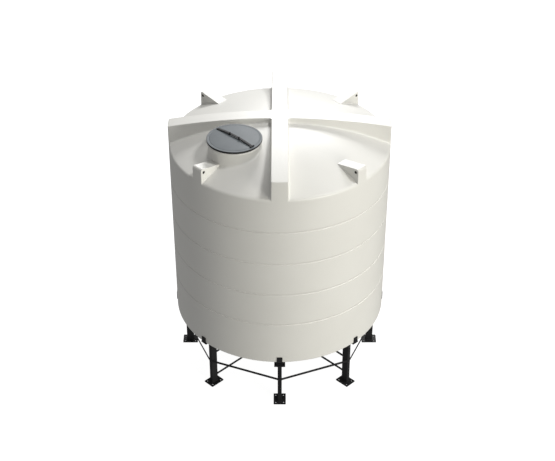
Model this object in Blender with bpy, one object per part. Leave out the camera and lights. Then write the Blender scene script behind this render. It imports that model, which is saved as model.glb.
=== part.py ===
"""Vertical polyethylene storage tank on an eight-legged steel stand, in metres.

The tank axis is Z and the stand feet rest on z = 0. The front is -Y.
"""
import math

import bmesh
import bpy
from mathutils import Matrix, Vector

# Tank shell
TANK_R = 1.300
SKIN = 0.015
ROUND_STEPS = 64
RIM_Z = 0.710
WALL_HEIGHT = 2.255
WALL_BOTTOM_Z = RIM_Z + SKIN
WALL_TOP_Z = WALL_BOTTOM_Z + WALL_HEIGHT
SHOULDER_LIFT = 0.011
SHOULDER_Z = WALL_TOP_Z + SHOULDER_LIFT
CROWN_HEIGHT = 0.309
CREST_Z = SHOULDER_Z + CROWN_HEIGHT
DOME_EDGE_RISE = 0.283
SEAT_GAP = 0.0003

# Ring grooves in the wall
GROOVE_DROP = 0.394
GROOVE_TOP_Z = WALL_TOP_Z - GROOVE_DROP
GROOVE_PITCH = 0.434
GROOVE_COUNT = 4
GROOVE_HALF = 0.022
GROOVE_DEPTH = 0.008
GROOVE_BEND = 0.6

# Shallow cone floor
SEAT_RING = 0.200
FLOOR_FLAT_R = TANK_R - SEAT_RING
FLOOR_SLOPE = math.radians(10.0)
RIM_CHAMFER = 0.006

# Outlet below the cone
OUTLET_BORE_R = 0.025
SPIGOT_R = 0.033
SPIGOT_LENGTH = 0.031
FLANGE_R = 0.060
FLANGE_THICK = 0.014

# Cross ribs on the roof
RIB_TOP_HALF = 0.094
RIB_DRAFT = 0.02
RIB_STAND = 0.062
RIB_CREST_Z = CREST_Z + RIB_STAND
RIB_ARC_R = 7.5
RIB_HEADROOM = 0.010
FLUSH = 0.0005

# Lifting lugs
LUG_WIDTH = 0.140
LUG_REACH = 0.325
LUG_TIP_R = TANK_R - LUG_REACH
LUG_RISE = 0.209
LUG_TOP_Z = SHOULDER_Z + LUG_RISE
LUG_ROUND = 0.030
LUG_HOLE_R = 0.014
LUG_HOLE_INSET = 0.043
LUG_HOLE_DROP = 0.049
LUG_ANGLES = {"front_left": 225, "front_right": 315, "back_right": 45, "back_left": 135}

# Manway
MANWAY_INSET = 0.574
MANWAY_RADIAL = TANK_R - MANWAY_INSET
MANWAY_ANGLE = math.radians(225.5)
NECK_R = 0.300
NECK_WALL = 0.025
NECK_BORE_R = NECK_R - NECK_WALL
LIP_PROUD = 0.012
LIP_R = NECK_R + LIP_PROUD
LIP_HEIGHT = 0.026
LID_OVERHANG = 0.004
LID_R = LIP_R + LID_OVERHANG
LID_THICK = 0.018
LID_CROWN = 0.012
LID_ROUND = 0.006
LID_LAND = 0.030
GASKET_INSET = 0.008
GASKET_R = LID_R - GASKET_INSET
GASKET_THICK = 0.012
LID_STAND = 0.048
LID_TOP_Z = CREST_Z + LID_STAND
LID_BOTTOM_Z = LID_TOP_Z - LID_THICK
GASKET_BOTTOM_Z = LID_BOTTOM_Z - GASKET_THICK
NECK_TOP_Z = GASKET_BOTTOM_Z - SEAT_GAP

# Strap bar across the lid
BAR_WIDTH = 0.028
BAR_THICK = 0.008
BAR_RISE = 0.024
BAR_CLEAR = 0.001
BAR_INSET = 0.031
BAR_END = LID_R - BAR_INSET
BAR_BOLT = 0.075
BOLT_R = 0.012
BOLT_PROUD = 0.010
HASP_WIDTH = 0.060
HASP_LENGTH = 0.016
HASP_HEIGHT = 0.014
HASP_PROUD = 0.008

# Hinge out of sight below and behind the lid's rim
HINGE_OUTSET = 0.018
HINGE_S = LID_R + HINGE_OUTSET
HINGE_DROP = 0.032
HINGE_Z = LID_TOP_Z - HINGE_DROP
PIN_R = 0.005
PIN_PROUD = 0.003
PIN_GAP = 0.0003
EYE_R = 0.009
EYE_HALF = 0.015
LEAF_THICK = 0.006
CHEEK_THICK = 0.006
CHEEK_GAP = 0.0006
CHEEK_HALF = 0.008
BRACKET_HEIGHT = 0.045
BRACKET_BACK = 0.016
BRACKET_GAP = 0.002

# Stand
POST_DEPTH = 0.090
POST_WIDTH = 0.050
LEG_SETBACK = 0.021
LEG_RADIAL = FLOOR_FLAT_R + LEG_SETBACK + POST_DEPTH / 2
POST_IN = LEG_RADIAL - POST_DEPTH / 2
POST_OUT = LEG_RADIAL + POST_DEPTH / 2
FOOT_LENGTH = 0.190
FOOT_WIDTH = 0.150
PLATE_THICK = 0.012
FOOT_HOLE_R = 0.009
FOOT_PITCH_RADIAL = 0.130
FOOT_PITCH_ACROSS = 0.096
HEAD_WIDTH = 0.132
HEAD_PITCH_ACROSS = 0.094
HEAD_DROP = 0.0945
HEAD_TOP_Z = RIM_Z - HEAD_DROP
STUB_WIDTH = 0.065
STUB_PROUD = 0.0305
SHOE_THICK = 0.012
SHOE_WIDTH = 0.090
TAB_WIDTH = 0.065
TAB_THICK = 0.010
TAB_RISE = 0.080
TIE_Z = 0.364
TIE_HEIGHT = 0.030
TIE_THICK = 0.006
TIE_OUTSET = 0.006
OUTER_LOW_Z = 0.091
OUTER_HIGH_Z = 0.449
INNER_LOW_Z = 0.150
INNER_HIGH_Z = 0.383
BRACES = {
    "outer": (225, OUTER_LOW_Z, OUTER_HIGH_Z),
    "inner": (315, INNER_LOW_Z, INNER_HIGH_Z),
}
LEGS = {
    "front": 270, "front_right": 315, "right": 0, "back_right": 45,
    "back": 90, "back_left": 135, "left": 180, "front_left": 225,
}


def clear_scene():
    for obj in list(bpy.data.objects):
        bpy.data.objects.remove(obj, do_unlink=True)


def collection(name):
    made = bpy.data.collections.new(name)
    bpy.context.scene.collection.children.link(made)
    return made


clear_scene()
PARTS = collection("parts")
CUTTERS = collection("cutters")


def material(name, colour, metallic, roughness):
    made = bpy.data.materials.new(name)
    made.use_nodes = True
    shader = made.node_tree.nodes["Principled BSDF"]
    shader.inputs["Base Color"].default_value = (*colour, 1.0)
    shader.inputs["Metallic"].default_value = metallic
    shader.inputs["Roughness"].default_value = roughness
    return made


FINISHES = {
    "shell": ((0.80, 0.79, 0.73), 0.0, 0.45),
    "lid": ((0.30, 0.33, 0.35), 0.0, 0.45),
    "rubber": ((0.03, 0.03, 0.03), 0.0, 0.70),
    "frame": ((0.02, 0.02, 0.02), 0.3, 0.45),
    "fitting": ((0.10, 0.10, 0.11), 0.0, 0.50),
}


def add(name, bm, finish):
    bmesh.ops.remove_doubles(bm, verts=bm.verts, dist=1e-6)
    bmesh.ops.recalc_face_normals(bm, faces=bm.faces)
    mesh = bpy.data.meshes.new(name)
    bm.to_mesh(mesh)
    bm.free()
    obj = bpy.data.objects.new(name, mesh)
    if finish:
        PARTS.objects.link(obj)
        mesh.materials.append(material(name + "_finish", *FINISHES[finish]))
    else:
        CUTTERS.objects.link(obj)
        obj.hide_render = True
        obj.display_type = "WIRE"
    return obj


def combine(obj, tool, operation):
    step = obj.modifiers.new(operation.lower(), "BOOLEAN")
    step.object = tool
    step.operation = operation
    step.solver = "EXACT"
    return obj


def smooth(obj):
    for face in obj.data.polygons:
        face.use_smooth = True
    return obj


def lathe(profile, steps=ROUND_STEPS, start=0.0, sweep=math.tau, end_faces=()):
    """Turn a closed (r, z) outline about Z. A partial sweep is closed by end_faces."""
    bm = bmesh.new()
    whole = sweep >= math.tau - 1e-9
    rows = []
    for i in range(steps if whole else steps + 1):
        a = start + sweep * i / steps
        rows.append([bm.verts.new((r * math.cos(a), r * math.sin(a), z)) for r, z in profile])
    count = len(profile)
    for i in range(steps):
        near, far = rows[i], rows[(i + 1) % len(rows)]
        for j in range(count):
            k = (j + 1) % count
            if profile[j][0] < 1e-9 and profile[k][0] < 1e-9:
                continue
            ring = [near[j], near[k], far[k], far[j]]
            if profile[j][0] < 1e-9:
                ring = [near[j], near[k], far[k]]
            elif profile[k][0] < 1e-9:
                ring = [near[j], near[k], far[j]]
            bm.faces.new(ring)
    for row in () if whole else (rows[0], rows[-1]):
        for corners in end_faces:
            bm.faces.new([row[j] for j in corners])
    return bm


def block(bm, x0, x1, y0, y1, z0, z1):
    made = bmesh.ops.create_cube(bm, size=1.0)
    size = Matrix.Diagonal((x1 - x0, y1 - y0, z1 - z0, 1.0))
    shift = Matrix.Translation(((x0 + x1) / 2, (y0 + y1) / 2, (z0 + z1) / 2))
    bmesh.ops.transform(bm, matrix=shift @ size, verts=made["verts"])
    return bm


def prism(outline, depth, axis):
    """Extrude an outline by depth, centred on the plane across axis Y or Z."""
    bm = bmesh.new()
    sides = []
    for offset in (-depth / 2, depth / 2):
        if axis == "Y":
            sides.append([bm.verts.new((a, offset, b)) for a, b in outline])
        else:
            sides.append([bm.verts.new((a, b, offset)) for a, b in outline])
    count = len(outline)
    bm.faces.new(sides[0])
    bm.faces.new(list(reversed(sides[1])))
    for j in range(count):
        k = (j + 1) % count
        bm.faces.new((sides[0][j], sides[0][k], sides[1][k], sides[1][j]))
    bmesh.ops.triangulate(bm, faces=[f for f in bm.faces if len(f.verts) > 4])
    return bm


def loft(sections):
    """Join a row of like closed sections, and close both ends."""
    bm = bmesh.new()
    rows = [[bm.verts.new(point) for point in section] for section in sections]
    count = len(rows[0])
    for near, far in zip(rows, rows[1:]):
        for j in range(count):
            k = (j + 1) % count
            bm.faces.new((near[j], near[k], far[k], far[j]))
    bm.faces.new(rows[0])
    bm.faces.new(list(reversed(rows[-1])))
    return bm


def rod(radius, length, steps, matrix):
    bm = bmesh.new()
    bmesh.ops.create_cone(
        bm, cap_ends=True, segments=steps, radius1=radius, radius2=radius,
        depth=length, matrix=matrix)
    return bm


def turned(obj, angle):
    obj.rotation_euler = (0.0, 0.0, angle)
    return obj


# Roof shape: a shallow sphere that turns into the wall through a round shoulder
DOME_R = (TANK_R ** 2 + DOME_EDGE_RISE ** 2) / (2 * DOME_EDGE_RISE)
DOME_CENTRE_Z = CREST_Z - DOME_R
SHOULDER_DROP = SHOULDER_Z - DOME_CENTRE_Z
SHOULDER_R = (DOME_R ** 2 - TANK_R ** 2 - SHOULDER_DROP ** 2) / (2 * (DOME_R - TANK_R))


def roof_curve(offset, dome_steps=8, shoulder_steps=4):
    """Points from the axis out to the wall, moved off the roof's outer face."""
    centre_r = TANK_R - SHOULDER_R
    lean = math.atan2(centre_r, SHOULDER_Z - DOME_CENTRE_Z)
    points = []
    for i in range(dome_steps):
        a = lean * i / dome_steps
        reach = DOME_R + offset
        points.append((reach * math.sin(a), DOME_CENTRE_Z + reach * math.cos(a)))
    for i in range(shoulder_steps + 1):
        a = lean + (math.pi / 2 - lean) * i / shoulder_steps
        reach = SHOULDER_R + offset
        points.append((centre_r + reach * math.sin(a), SHOULDER_Z + reach * math.cos(a)))
    return points


def roof_solid(name, offset, bottom):
    curve = roof_curve(offset)
    profile = curve + [(curve[-1][0], bottom), (0.0, bottom)]
    return add(name, lathe(profile), None)


def dome_height(radius):
    return DOME_CENTRE_Z + math.sqrt(DOME_R ** 2 - radius ** 2)


# Wall: four quarter segments of one moulded cylinder, with four ring grooves
def wall_profile():
    """Outline of the wall and the faces that close its cut ends."""
    groove = [(0.0, GROOVE_HALF), (GROOVE_BEND, GROOVE_HALF / 2), (1.0, 0.0),
              (GROOVE_BEND, -GROOVE_HALF / 2), (0.0, -GROOVE_HALF)]
    heights = [GROOVE_TOP_Z - i * GROOVE_PITCH for i in range(GROOVE_COUNT)]
    outer = [(TANK_R, WALL_TOP_Z)]
    for z in heights:
        outer += [(TANK_R - depth * GROOVE_DEPTH, z + rise) for depth, rise in groove]
    outer.append((TANK_R, WALL_BOTTOM_Z))
    inner = [(TANK_R - SKIN, z) for z in [WALL_BOTTOM_Z] + heights[::-1] + [WALL_TOP_Z]]
    last = len(outer) + len(inner) - 1
    faces = []
    for i in range(GROOVE_COUNT):
        first = 1 + len(groove) * i
        faces.append((first - 1, first, last - 1 - i, last - i))
        for j in range(first, first + len(groove) - 1):
            faces.append((j, j + 1, last - 1 - i))
    faces.append((len(outer) - 2, len(outer) - 1, len(outer), len(outer) + 1))
    return outer + inner, faces


wall_outline, wall_ends = wall_profile()
for number, side in enumerate(("back_right", "back_left", "front_left", "front_right")):
    quarter = lathe(
        wall_outline, ROUND_STEPS // 4, number * math.pi / 2, math.pi / 2, wall_ends)
    smooth(add("wall_" + side, quarter, "shell"))

# Floor: a flat seat ring that turns into a shallow cone, open at the outlet
cone_drop = (FLOOR_FLAT_R - OUTLET_BORE_R) * math.tan(FLOOR_SLOPE)
floor_profile = [
    (TANK_R - RIM_CHAMFER, RIM_Z), (TANK_R, RIM_Z + RIM_CHAMFER), (TANK_R, WALL_BOTTOM_Z),
    (FLOOR_FLAT_R, WALL_BOTTOM_Z), (OUTLET_BORE_R, WALL_BOTTOM_Z - cone_drop),
    (OUTLET_BORE_R, RIM_Z - cone_drop), (FLOOR_FLAT_R, RIM_Z),
]
smooth(add("floor_cone", lathe(floor_profile), "shell"))

# Outlet: a bulkhead flange and threaded spigot below the lowest point of the cone
flange_top = RIM_Z - cone_drop - SEAT_GAP
flange_low = flange_top - FLANGE_THICK
spigot_low = flange_low - SPIGOT_LENGTH
outlet_profile = [
    (OUTLET_BORE_R, flange_top), (FLANGE_R, flange_top), (FLANGE_R, flange_low),
    (SPIGOT_R, flange_low), (SPIGOT_R, spigot_low), (OUTLET_BORE_R, spigot_low),
]
smooth(add("bottom_outlet", lathe(outlet_profile, 24), "fitting"))

# Roof: a thin dome with its round shoulder
outer_curve = roof_curve(0.0)
inner_curve = roof_curve(-SKIN)
roof_profile = outer_curve + [(TANK_R, WALL_TOP_Z), (TANK_R - SKIN, WALL_TOP_Z)]
roof_profile += list(reversed(inner_curve))
roof = smooth(add("roof", lathe(roof_profile), "shell"))


def rib(name, finish, angle, start, grow=0.0, headroom=0.0):
    """A rib from start to past the wall, with an arched top and drafted sides."""
    sections = []
    steps = 16
    reach = TANK_R + SKIN
    for i in range(steps + 1):
        x = start + (reach - start) * i / steps
        top = RIB_CREST_Z - RIB_ARC_R + math.sqrt(RIB_ARC_R ** 2 - x ** 2) + headroom
        crest = RIB_TOP_HALF + grow - RIB_DRAFT * headroom
        foot = crest + RIB_DRAFT * (top - WALL_TOP_Z)
        sections.append((
            (x, -foot, WALL_TOP_Z), (x, foot, WALL_TOP_Z), (x, crest, top), (x, -crest, top)))
    return turned(add(name, loft(sections), finish), angle)


# Tools shared by what stands on the roof: the wall's cylinder and the roof's outer face
flush_drum = add("flush_drum", lathe(
    [(0.0, WALL_BOTTOM_Z), (TANK_R - FLUSH, WALL_BOTTOM_Z),
     (TANK_R - FLUSH, RIB_CREST_Z + SKIN), (0.0, RIB_CREST_Z + SKIN)]), None)
roof_skin = roof_solid("roof_skin", SEAT_GAP, WALL_BOTTOM_Z)

# Ribs: one from left to right, and one on each side of it to the front and back
long_rib = rib("rib_left_right", "shell", 0.0, -TANK_R - SKIN)
long_rib_face = rib("long_rib_face", None, 0.0, -TANK_R - SKIN, SEAT_GAP, RIB_HEADROOM)
front_rib = rib("rib_front", "shell", -math.pi / 2, 0.0)
back_rib = rib("rib_back", "shell", math.pi / 2, 0.0)
for piece in (long_rib, front_rib, back_rib):
    combine(piece, flush_drum, "INTERSECT")
    combine(piece, roof_skin, "DIFFERENCE")
for piece in (front_rib, back_rib):
    combine(piece, long_rib_face, "DIFFERENCE")

manway_x = MANWAY_RADIAL * math.cos(MANWAY_ANGLE)
manway_y = MANWAY_RADIAL * math.sin(MANWAY_ANGLE)
manway_hole = add("manway_hole", lathe(
    [(0.0, WALL_TOP_Z), (NECK_BORE_R, WALL_TOP_Z), (NECK_BORE_R, LID_TOP_Z), (0.0, LID_TOP_Z)],
    48), None)
manway_hole.location = (manway_x, manway_y, 0.0)
combine(roof, manway_hole, "DIFFERENCE")
neck_face_r = NECK_R + SEAT_GAP
neck_face = add("neck_face", lathe(
    [(0.0, WALL_BOTTOM_Z), (neck_face_r, WALL_BOTTOM_Z), (neck_face_r, LID_TOP_Z),
     (0.0, LID_TOP_Z)], 48), None)
neck_face.location = (manway_x, manway_y, 0.0)


# Lifting lugs: four wedges on the shoulder, each with a shackle hole through it
def lug_outline():
    """Side view of a lug: a slope up from the dome to a round corner at the wall."""
    tip_z = dome_height(LUG_TIP_R)
    slope = math.atan2(LUG_TOP_Z - tip_z, LUG_REACH)
    centre_r = TANK_R - LUG_ROUND
    centre_z = tip_z + (centre_r - LUG_TIP_R) * math.tan(slope) - LUG_ROUND / math.cos(slope)
    outline = [(LUG_TIP_R, WALL_TOP_Z), (TANK_R, WALL_TOP_Z)]
    for i in range(6):
        a = (math.pi / 2 + slope) * i / 5
        outline.append((centre_r + LUG_ROUND * math.cos(a), centre_z + LUG_ROUND * math.sin(a)))
    outline.append((LUG_TIP_R, tip_z))
    return outline


for side, degrees in LUG_ANGLES.items():
    angle = math.radians(degrees)
    lug = turned(add("lug_" + side, prism(lug_outline(), LUG_WIDTH, "Y"), "shell"), angle)
    combine(lug, flush_drum, "INTERSECT")
    combine(lug, roof_skin, "DIFFERENCE")
    if side == "front_left":
        combine(lug, neck_face, "DIFFERENCE")
    across = Matrix.Rotation(math.pi / 2, 4, "X")
    shift = Matrix.Translation((TANK_R - LUG_HOLE_INSET, 0.0, LUG_TOP_Z - LUG_HOLE_DROP))
    hole = add("lug_hole_" + side, rod(LUG_HOLE_R, LUG_WIDTH * 2, 16, shift @ across), None)
    combine(lug, turned(hole, angle), "DIFFERENCE")

# Manway neck: a short tube on the dome with a lip at its mouth
neck_profile = [
    (NECK_BORE_R, WALL_TOP_Z), (NECK_R, WALL_TOP_Z), (NECK_R, NECK_TOP_Z - LIP_HEIGHT),
    (LIP_R, NECK_TOP_Z - LIP_HEIGHT), (LIP_R, NECK_TOP_Z), (NECK_BORE_R, NECK_TOP_Z),
]
neck = smooth(add("manway_neck", lathe(neck_profile, 48), "shell"))
neck.location = (manway_x, manway_y, 0.0)
combine(neck, roof_skin, "DIFFERENCE")

# The lid's own frame: origin on the hinge axis, X along the bar, Y along the axis
lid_yaw = math.radians(315)
bar_x, bar_y = math.cos(lid_yaw), math.sin(lid_yaw)
hinge_at = Vector((manway_x - HINGE_S * bar_x, manway_y - HINGE_S * bar_y, HINGE_Z))


def on_lid(obj):
    obj.location = hinge_at
    obj.rotation_euler = (0.0, 0.0, lid_yaw)
    return obj


def lid_lathe(profile, steps=48):
    bm = lathe(profile, steps)
    bmesh.ops.translate(bm, verts=bm.verts, vec=(HINGE_S, 0.0, -HINGE_Z))
    return bm


lid_edge_r = LID_R - LID_ROUND
crown_r = LID_R - LID_LAND
lid_profile = [(0.0, LID_BOTTOM_Z), (LID_R, LID_BOTTOM_Z), (LID_R, LID_TOP_Z - LID_ROUND)]
lid_profile += [(lid_edge_r, LID_TOP_Z)]
for i in range(6):
    share = 1.0 - i / 5
    lid_profile.append((crown_r * share, LID_TOP_Z + LID_CROWN * (1.0 - share ** 2)))
on_lid(smooth(add("manway_lid", lid_lathe(lid_profile), "lid")))

gasket_profile = [
    (NECK_BORE_R, GASKET_BOTTOM_Z), (GASKET_R, GASKET_BOTTOM_Z),
    (GASKET_R, LID_BOTTOM_Z), (NECK_BORE_R, LID_BOTTOM_Z),
]
on_lid(smooth(add("lid_gasket", lid_lathe(gasket_profile), "rubber")))


# Strap bar: bowed over the lid on two bolts, with a cross piece at its hasp end
def lid_height(s):
    """Height of the lid's top face at s along the bar."""
    return LID_TOP_Z + LID_CROWN * max(0.0, 1.0 - (s / crown_r) ** 2)


def bar_height(s):
    return LID_TOP_Z + BAR_CLEAR + BAR_RISE * (1.0 - (s / BAR_END) ** 2)


bar_sections = []
for i in range(17):
    s = -BAR_END + BAR_END * i / 8
    x = HINGE_S + s
    low = bar_height(s) - HINGE_Z
    high = low + BAR_THICK
    half = BAR_WIDTH / 2
    bar_sections.append(((x, -half, low), (x, half, low), (x, half, high), (x, -half, high)))
bar = on_lid(add("lid_bar", loft(bar_sections), "frame"))
hasp_end = BAR_END + HASP_PROUD
hasp_start = hasp_end - HASP_LENGTH
hasp_low = lid_height(hasp_start) + SEAT_GAP - HINGE_Z
hasp_bm = block(bmesh.new(), HINGE_S + hasp_start, HINGE_S + hasp_end,
                -HASP_WIDTH / 2, HASP_WIDTH / 2, hasp_low, hasp_low + HASP_HEIGHT)
combine(bar, on_lid(add("hasp_cross", hasp_bm, None)), "UNION")
for sign in (-1, 1):
    s = sign * BAR_BOLT
    base = lid_height(abs(s) - BOLT_R) + SEAT_GAP - HINGE_Z
    top = bar_height(s) + BAR_THICK + BOLT_PROUD - HINGE_Z
    shift = Matrix.Translation((HINGE_S + s, 0.0, (base + top) / 2))
    bolt = on_lid(add("bar_bolt", rod(BOLT_R, top - base, 12, shift), None))
    combine(bar, bolt, "UNION")

# Hinge leaf: a short plate that slopes from the lid's rim down to the hinge eye
across = Matrix.Rotation(math.pi / 2, 4, "X")
leaf_slope = math.atan2(LID_BOTTOM_Z + LID_THICK / 2 - HINGE_Z, HINGE_OUTSET)
leaf_reach = HINGE_OUTSET / math.cos(leaf_slope) + LEAF_THICK
leaf_bm = block(bmesh.new(), 0.0, leaf_reach, -EYE_HALF, EYE_HALF, -LEAF_THICK / 2, LEAF_THICK / 2)
bmesh.ops.transform(leaf_bm, matrix=Matrix.Rotation(-leaf_slope, 4, "Y"), verts=leaf_bm.verts)
leaf = on_lid(add("lid_hinge_leaf", leaf_bm, "frame"))
rim_face_r = LID_R + SEAT_GAP
rim_face = on_lid(add("rim_face", lid_lathe(
    [(0.0, GASKET_BOTTOM_Z), (rim_face_r, GASKET_BOTTOM_Z), (rim_face_r, LID_TOP_Z),
     (0.0, LID_TOP_Z)]), None))
combine(leaf, rim_face, "DIFFERENCE")
combine(leaf, on_lid(add("leaf_eye", rod(EYE_R, 2 * EYE_HALF, 20, across), None)), "UNION")
pin_hole = on_lid(add("leaf_pin_hole", rod(PIN_R + PIN_GAP, HINGE_S, 20, across), None))
combine(leaf, pin_hole, "DIFFERENCE")

# Hinge bracket on the neck: two cheeks and a foot, carrying the hinge pin
cheek_in = EYE_HALF + CHEEK_GAP
cheek_out = cheek_in + CHEEK_THICK
foot_top = NECK_TOP_Z - LIP_HEIGHT - BRACKET_GAP - HINGE_Z
foot_low = foot_top - BRACKET_HEIGHT
bracket_bm = block(
    bmesh.new(), -BRACKET_BACK, HINGE_S - NECK_BORE_R, -cheek_out, cheek_out, foot_low, foot_top)
bracket = on_lid(add("hinge_bracket", bracket_bm, "frame"))
for sign in (-1, 1):
    inner, outer = sorted((sign * cheek_in, sign * cheek_out))
    cheek_bm = block(bmesh.new(), -CHEEK_HALF, CHEEK_HALF, inner, outer,
                     (foot_low + foot_top) / 2, CHEEK_HALF)
    combine(bracket, on_lid(add("cheek", cheek_bm, None)), "UNION")
pin_length = 2 * (cheek_out + PIN_PROUD)
pin = on_lid(add("hinge_pin_rod", rod(PIN_R, pin_length, 16, across), None))
combine(bracket, pin, "UNION")
combine(bracket, neck_face, "DIFFERENCE")

# Stand: eight legs, each with a foot plate, a box post and a seat under the rim
shoe_bottom = RIM_Z - SHOE_THICK
tab_in = TANK_R + SEAT_GAP
tab_top = RIM_Z + TAB_RISE


def rim_seat(obj_name, angle):
    """The shoe under the rim with its retaining tab outside the wall."""
    shoe = block(bmesh.new(), FLOOR_FLAT_R, tab_in + TAB_THICK,
                 -SHOE_WIDTH / 2, SHOE_WIDTH / 2, shoe_bottom, RIM_Z)
    shoe_obj = turned(add(obj_name + "_shoe", shoe, None), angle)
    tab = block(bmesh.new(), tab_in, tab_in + TAB_THICK, -TAB_WIDTH / 2, TAB_WIDTH / 2,
                shoe_bottom, tab_top)
    tab_obj = turned(add(obj_name + "_tab", tab, None), angle)
    return shoe_obj, tab_obj


def plate_holes(obj, name, angle, z, pitch_across):
    for i in (-1, 1):
        for j in (-1, 1):
            spot = Matrix.Translation((
                LEG_RADIAL + i * FOOT_PITCH_RADIAL / 2, j * pitch_across / 2, z))
            hole = add(name + "_hole", rod(FOOT_HOLE_R, 4 * PLATE_THICK, 12, spot), None)
            combine(obj, turned(hole, angle), "DIFFERENCE")


def foot(name, angle, post_top):
    half_length = FOOT_LENGTH / 2
    half_width = FOOT_WIDTH / 2
    plate = block(bmesh.new(), LEG_RADIAL - half_length, LEG_RADIAL + half_length,
                  -half_width, half_width, 0.0, PLATE_THICK)
    leg = turned(add(name, plate, "frame"), angle)
    post = block(bmesh.new(), POST_IN, POST_OUT, -POST_WIDTH / 2, POST_WIDTH / 2,
                 PLATE_THICK / 2, post_top)
    combine(leg, turned(add(name + "_post", post, None), angle), "UNION")
    plate_holes(leg, name, angle, 0.0, FOOT_PITCH_ACROSS)
    return leg


def head_plate(low, high):
    return block(bmesh.new(), LEG_RADIAL - FOOT_LENGTH / 2, LEG_RADIAL + FOOT_LENGTH / 2,
                 -HEAD_WIDTH / 2, HEAD_WIDTH / 2, low, high)


for side, degrees in LEGS.items():
    angle = math.radians(degrees)
    braced = degrees % 90 != 0
    if braced:
        leg = foot("leg_" + side, angle, shoe_bottom + SHOE_THICK / 2)
        for piece in rim_seat("seat_" + side, angle):
            combine(leg, piece, "UNION")
        continue
    leg = foot("leg_" + side, angle, HEAD_TOP_Z - PLATE_THICK / 2)
    head = head_plate(HEAD_TOP_Z - PLATE_THICK, HEAD_TOP_Z)
    combine(leg, turned(add("head_" + side, head, None), angle), "UNION")
    plate_holes(leg, "head_" + side, angle, HEAD_TOP_Z, HEAD_PITCH_ACROSS)
    cradle_bm = head_plate(HEAD_TOP_Z, HEAD_TOP_Z + PLATE_THICK)
    cradle = turned(add("cradle_" + side, cradle_bm, "frame"), angle)
    stub = block(bmesh.new(), POST_IN, POST_OUT + STUB_PROUD, -STUB_WIDTH / 2, STUB_WIDTH / 2,
                 HEAD_TOP_Z + PLATE_THICK / 2, shoe_bottom + SHOE_THICK / 2)
    combine(cradle, turned(add("stub_" + side, stub, None), angle), "UNION")
    for piece in rim_seat("cradle_" + side, angle):
        combine(cradle, piece, "UNION")
    plate_holes(cradle, "cradle_" + side, angle, HEAD_TOP_Z, HEAD_PITCH_ACROSS)


# Ties: a flat bar on edge between each leg and the next, mitred to the posts
def post_face(degrees, sign, offset):
    """A point and direction in plan on a post's side face."""
    a = math.radians(degrees)
    radial = Vector((math.cos(a), math.sin(a)))
    across_dir = Vector((-math.sin(a), math.cos(a)))
    return across_dir * sign * offset, radial


def meet(p, d, q, e):
    """Where the plan line p + t d crosses the plan line q + s e."""
    cross = d.x * e.y - d.y * e.x
    t = ((q.x - p.x) * e.y - (q.y - p.y) * e.x) / cross
    return p + d * t


order = sorted(LEGS.items(), key=lambda item: item[1])
for (side, degrees), (following, after) in zip(order, order[1:] + order[:1]):
    middle = math.radians(degrees + 22.5)
    outward = Vector((math.cos(middle), math.sin(middle)))
    along = Vector((-math.sin(middle), math.cos(middle)))
    start_p, start_d = post_face(degrees, 1, POST_WIDTH / 2 + SEAT_GAP)
    end_p, end_d = post_face(degrees + 45, -1, POST_WIDTH / 2 + SEAT_GAP)
    line = (POST_OUT + TIE_OUTSET) * math.cos(math.radians(22.5))
    corners = []
    for reach in (line - TIE_THICK / 2, line + TIE_THICK / 2):
        base = outward * reach
        corners.append((meet(base, along, start_p, start_d), meet(base, along, end_p, end_d)))
    plan = [corners[0][0], corners[0][1], corners[1][1], corners[1][0]]
    tie_bm = prism([(p.x, p.y) for p in plan], TIE_HEIGHT, "Z")
    tie = add("tie_" + side + "_to_" + following, tie_bm, "frame")
    tie.location = (0.0, 0.0, TIE_Z)

# Braces: two of the same flat bars across the stand in each of two crossing planes
for name, (degrees, low_z, high_z) in BRACES.items():
    for level, z in (("lower", low_z), ("upper", high_z)):
        reach = POST_IN - SEAT_GAP
        bar_bm = block(bmesh.new(), -reach, reach, -TIE_THICK / 2, TIE_THICK / 2,
                       z - TIE_HEIGHT / 2, z + TIE_HEIGHT / 2)
        turned(add("brace_" + name + "_" + level, bar_bm, "frame"), math.radians(degrees))
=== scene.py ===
import math

import bmesh
import bpy
from mathutils import Matrix, Vector


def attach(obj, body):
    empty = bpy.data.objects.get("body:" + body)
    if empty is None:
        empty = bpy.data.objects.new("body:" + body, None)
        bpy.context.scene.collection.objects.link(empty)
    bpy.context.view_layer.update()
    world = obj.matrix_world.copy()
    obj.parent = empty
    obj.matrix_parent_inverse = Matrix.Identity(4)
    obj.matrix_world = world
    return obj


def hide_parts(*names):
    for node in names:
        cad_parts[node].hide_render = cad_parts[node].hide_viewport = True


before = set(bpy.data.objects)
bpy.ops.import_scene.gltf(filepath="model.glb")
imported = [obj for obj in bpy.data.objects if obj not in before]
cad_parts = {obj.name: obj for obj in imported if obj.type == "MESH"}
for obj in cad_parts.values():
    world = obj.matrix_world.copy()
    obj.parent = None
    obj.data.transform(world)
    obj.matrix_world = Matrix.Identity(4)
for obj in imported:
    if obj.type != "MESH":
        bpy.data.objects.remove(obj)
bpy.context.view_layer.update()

# Tank shell. One rotomoulded drum of natural white polyethylene: dome, round shoulder,
# wall with four ring grooves that deepen slowly from above and step out again below,
# rounded bottom rim and cone floor, all one skin with a faint orange peel from the mould.


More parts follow.
